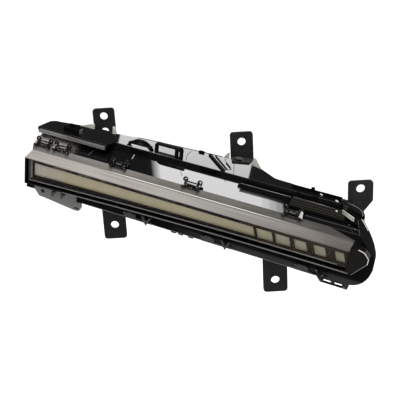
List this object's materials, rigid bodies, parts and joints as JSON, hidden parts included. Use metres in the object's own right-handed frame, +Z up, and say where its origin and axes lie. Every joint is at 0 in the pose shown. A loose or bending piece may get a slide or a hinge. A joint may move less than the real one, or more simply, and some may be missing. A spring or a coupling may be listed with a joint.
{
  "type": "daytime running light",
  "caption": "Swept bumper running light: gloss black housing, smoked faceted lens with a segmented light bar, spring clips, flat bolt-on tabs and a rear connector socket.",
  "frame": {"origin": "centre of the top middle tab's bolt hole, on the tab's front face", "axes": "+X to the right seen from the front, +Y to the rear, +Z up; the tabs stand in X-Z planes and the lamp is swept 26 degrees and drops 10 degrees to the right"},
  "size_m": [0.3074, 0.1809, 0.1394],
  "materials": {
    "housing_black": "high gloss black",
    "trim_grey": "streaked grey gloss",
    "lens_smoke": "smoked, fine lengthwise streaks",
    "seal_black": "black seal",
    "bezel_black": "dark brown black",
    "light_bar": "unlit greige diffuser",
    "reflector_grey": "pale tray",
    "board_white": "white solder mask",
    "led_yellow": "phosphor yellow",
    "sink_aluminium": "bare extrusion",
    "steel": "zinc plated",
    "board_green": "green solder mask",
    "cover_black": "moulded black",
    "brass": "bare",
    "tab_charcoal": "matt charcoal coating",
    "clip_black": "black, satin gloss",
    "guard_grey": "mid grey",
    "gusset_pale": "pale greenish grey"
  },
  "bodies": {
    "root": {"housing": "housing_black", "upper_trim": "trim_grey", "lens": "lens_smoke", "lens_gasket": "seal_black", "bezel": "bezel_black", "light_guide": "light_bar", "reflector": "reflector_grey", "circuit_board": "board_white", "leds": "led_yellow", "heat_sink": "sink_aluminium", "board_screws": "steel", "driver_board": "board_green", "driver_screws": "steel", "rear_cover": "cover_black", "cover_gasket": "seal_black", "cover_screws": "steel", "connector_socket": "cover_black", "terminals": "brass", "vent_cap": "cover_black", "bracket_top_left": "tab_charcoal", "bracket_top_mid": "tab_charcoal", "bracket_top_right": "tab_charcoal", "bracket_bottom_left": "tab_charcoal", "bracket_bottom_right": "tab_charcoal", "bracket_screws": "steel", "tab_gussets": "gusset_pale", "corner_guard": "guard_grey", "guard_screw": "steel", "end_rail": "clip_black", "lens_clip_1": "clip_black", "lens_clip_2": "clip_black", "lens_clip_3": "clip_black", "lens_clip_4": "clip_black", "lens_clip_5": "clip_black", "lower_clip_1": "clip_black", "lower_clip_2": "clip_black", "lower_clip_3": "clip_black"}
  },
  "joints": []
}
